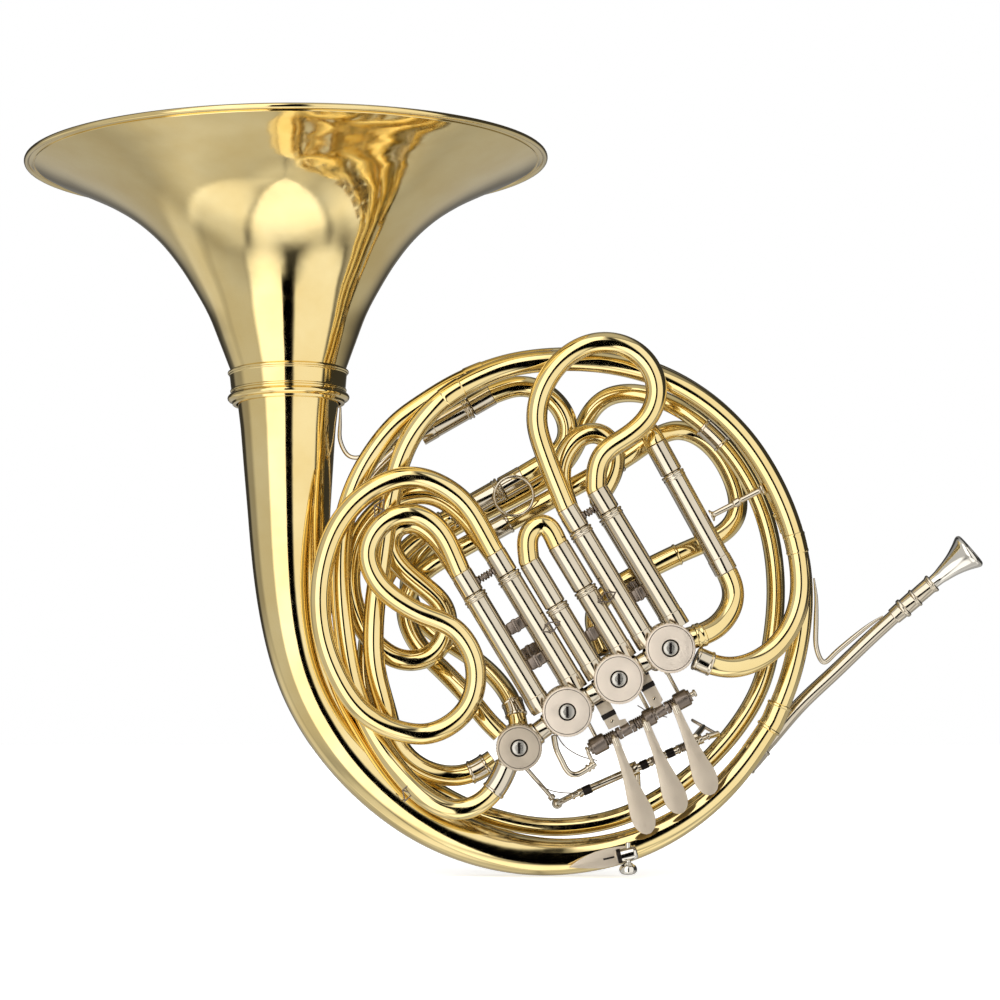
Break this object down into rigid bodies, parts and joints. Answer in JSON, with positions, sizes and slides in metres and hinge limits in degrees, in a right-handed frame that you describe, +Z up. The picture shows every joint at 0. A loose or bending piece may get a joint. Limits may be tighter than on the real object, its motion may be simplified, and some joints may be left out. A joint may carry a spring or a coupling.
{
  "type": "french horn",
  "caption": "Double french horn with flared bell, round wrapped tubing, rotary valves, drawing slides, finger levers, a thumb lever and a mouthpiece.",
  "frame": {"origin": "on the main tube beside the finger paddles, where the left hand holds the horn", "axes": "+X towards the mouthpiece, +Z up towards the bell's mouth, -Y towards the side that carries the valve caps"},
  "size_m": [0.5674, 0.3091, 0.4477],
  "materials": {
    "lacquered_brass": "clear lacquered polished yellow brass",
    "nickel_silver": "polished nickel silver, slightly warm",
    "satin_nickel": "satin brushed nickel silver",
    "silver_plate": "polished silver plate",
    "steel_wire": "drawn wire"
  },
  "bodies": {
    "horn": {"bell_brace": "nickel_silver", "bell_branch": "lacquered_brass", "bell_flare": "lacquered_brass", "bell_ring": "lacquered_brass", "f_slide_bend_back": "lacquered_brass", "f_slide_bend_front": "lacquered_brass", "f_slide_tubes": "nickel_silver", "finger_hook_plate": "nickel_silver", "first_bearing_plate": "nickel_silver", "first_front_slide_tubes": "nickel_silver", "first_rear_slide_tubes": "nickel_silver", "first_valve_cap": "satin_nickel", "first_valve_casing": "nickel_silver", "front_wrap": "lacquered_brass", "inner_wrap": "lacquered_brass", "leadpipe": "nickel_silver", "leadpipe_brace": "nickel_silver", "lever_frame": "nickel_silver", "main_slide_tubes": "nickel_silver", "main_wrap": "lacquered_brass", "mouthpiece_receiver": "nickel_silver", "rear_loop": "lacquered_brass", "second_bearing_plate": "nickel_silver", "second_front_slide_tubes": "nickel_silver", "second_valve_cap": "satin_nickel", "second_valve_casing": "nickel_silver", "third_bearing_plate": "nickel_silver", "third_front_slide_tubes": "nickel_silver", "third_rear_slide_tubes": "nickel_silver", "third_valve_cap": "satin_nickel", "third_valve_casing": "nickel_silver", "thumb_bearing_plate": "nickel_silver", "thumb_lever_frame": "nickel_silver", "thumb_valve_cap": "satin_nickel", "thumb_valve_casing": "nickel_silver", "wrap_brace": "nickel_silver"},
    "thumb_rotor": {"thumb_rotor": "nickel_silver", "thumb_stop_arm": "nickel_silver"},
    "third_rotor": {"third_rotor": "nickel_silver", "third_stop_arm": "nickel_silver"},
    "second_rotor": {"second_rotor": "nickel_silver", "second_stop_arm": "nickel_silver"},
    "first_rotor": {"first_rotor": "nickel_silver", "first_stop_arm": "nickel_silver"},
    "third_lever": {"third_finger_lever": "satin_nickel"},
    "second_lever": {"second_finger_lever": "satin_nickel"},
    "first_lever": {"first_finger_lever": "satin_nickel"},
    "thumb_lever": {"thumb_lever": "satin_nickel"},
    "thumb_link": {"thumb_link_rod": "nickel_silver"},
    "third_front_crook": {"third_front_slide_crook": "lacquered_brass"},
    "third_rear_crook": {"third_rear_slide_crook": "lacquered_brass"},
    "second_front_crook": {"second_front_slide_crook": "lacquered_brass"},
    "first_front_crook": {"first_front_slide_crook": "lacquered_brass"},
    "first_rear_crook": {"first_rear_slide_crook": "lacquered_brass"},
    "f_crook": {"f_slide_crook": "lacquered_brass"},
    "main_crook": {"main_slide_crook": "lacquered_brass"},
    "pull_ring": {"main_slide_pull_ring": "steel_wire"},
    "mouthpiece": {"mouthpiece": "silver_plate"},
    "hook_screw": {"finger_hook_screw": "nickel_silver"}
  },
  "joints": [
    {"name": "thumb_rotor_turn", "type": "hinge", "parent": "horn", "child": "thumb_rotor", "pos_m": [-0.107, 0, 0.04], "axis": [0, 1, 0], "range_deg": [0, 90]},
    {"name": "third_rotor_turn", "type": "hinge", "parent": "horn", "child": "third_rotor", "pos_m": [-0.079, 0, 0.061], "axis": [0, -1, 0], "range_deg": [0, 90]},
    {"name": "second_rotor_turn", "type": "hinge", "parent": "horn", "child": "second_rotor", "pos_m": [-0.049, 0, 0.08], "axis": [0, -1, 0], "range_deg": [0, 90]},
    {"name": "first_rotor_turn", "type": "hinge", "parent": "horn", "child": "first_rotor", "pos_m": [-0.019, 0, 0.098], "axis": [0, 1, 0], "range_deg": [0, 90]},
    {"name": "third_lever_press", "type": "hinge", "parent": "horn", "child": "third_lever", "pos_m": [-0.066, -0.022, 0.038], "axis": [0.882, 0, 0.4713], "range_deg": [0, 15], "stiffness_Nm_per_rad": 0.25, "springref_deg": -20.05},
    {"name": "second_lever_press", "type": "hinge", "parent": "horn", "child": "second_lever", "pos_m": [-0.066, -0.022, 0.038], "axis": [0.882, 0, 0.4713], "range_deg": [0, 15], "stiffness_Nm_per_rad": 0.25, "springref_deg": -20.05},
    {"name": "first_lever_press", "type": "hinge", "parent": "horn", "child": "first_lever", "pos_m": [-0.066, -0.022, 0.038], "axis": [0.882, 0, 0.4713], "range_deg": [0, 15], "stiffness_Nm_per_rad": 0.25, "springref_deg": -20.05},
    {"name": "thumb_lever_press", "type": "hinge", "parent": "horn", "child": "thumb_lever", "pos_m": [-0.074, 0.006, 0.0095], "axis": [0.9145, 0, 0.4045], "range_deg": [0, 23.5], "stiffness_Nm_per_rad": 0.25, "springref_deg": -20.05},
    {"name": "thumb_link_swing", "type": "hinge", "parent": "thumb_lever", "child": "thumb_link", "pos_m": [-0.084, 0.033, 0.003], "axis": [0.9145, 0, 0.4045], "range_deg": [-23.5, 0]},
    {"name": "third_front_slide_draw", "type": "slide", "parent": "horn", "child": "third_front_crook", "axis": [-0.5151, 0, 0.8571], "range_m": [0, 0.016]},
    {"name": "third_rear_slide_draw", "type": "slide", "parent": "horn", "child": "third_rear_crook", "axis": [-0.5151, 0, 0.8571], "range_m": [0, 0.009]},
    {"name": "second_front_slide_draw", "type": "slide", "parent": "horn", "child": "second_front_crook", "axis": [-0.5151, 0, 0.8571], "range_m": [0, 0.022]},
    {"name": "first_front_slide_draw", "type": "slide", "parent": "horn", "child": "first_front_crook", "axis": [-0.5151, 0, 0.8571], "range_m": [0, 0.04]},
    {"name": "first_rear_slide_draw", "type": "slide", "parent": "horn", "child": "first_rear_crook", "axis": [-0.5151, 0, 0.8571], "range_m": [0, 0.015]},
    {"name": "f_slide_draw", "type": "slide", "parent": "horn", "child": "f_crook", "axis": [-0.4821, 0, 0.8761], "range_m": [0, 0.02]},
    {"name": "main_slide_draw", "type": "slide", "parent": "horn", "child": "main_crook", "axis": [0.87, 0, 0.493], "range_m": [0, 0.02]},
    {"name": "pull_ring_swing", "type": "hinge", "parent": "main_crook", "child": "pull_ring", "pos_m": [-0.11, 0.0099, 0.1981], "axis": [1, 0, 0], "range_deg": [-40, 0]},
    {"name": "mouthpiece_draw", "type": "slide", "parent": "horn", "child": "mouthpiece", "axis": [0.7471, -0.1, 0.6571], "range_m": [0, 0.02]},
    {"name": "hook_screw_turn", "type": "hinge", "parent": "horn", "child": "hook_screw", "pos_m": [-0.04287, -0.015, -0.02374], "axis": [0, 0, 1], "range_deg": [-180, 180]}
  ],
  "couplings": [
    {"joint": "third_rotor_turn", "follows": "third_lever_press", "ratio": 6},
    {"joint": "second_rotor_turn", "follows": "second_lever_press", "ratio": 6},
    {"joint": "first_rotor_turn", "follows": "first_lever_press", "ratio": 6},
    {"joint": "thumb_link_swing", "follows": "thumb_lever_press", "ratio": -1},
    {"joint": "thumb_rotor_turn", "follows": "thumb_lever_press", "ratio": 3.8298}
  ]
}
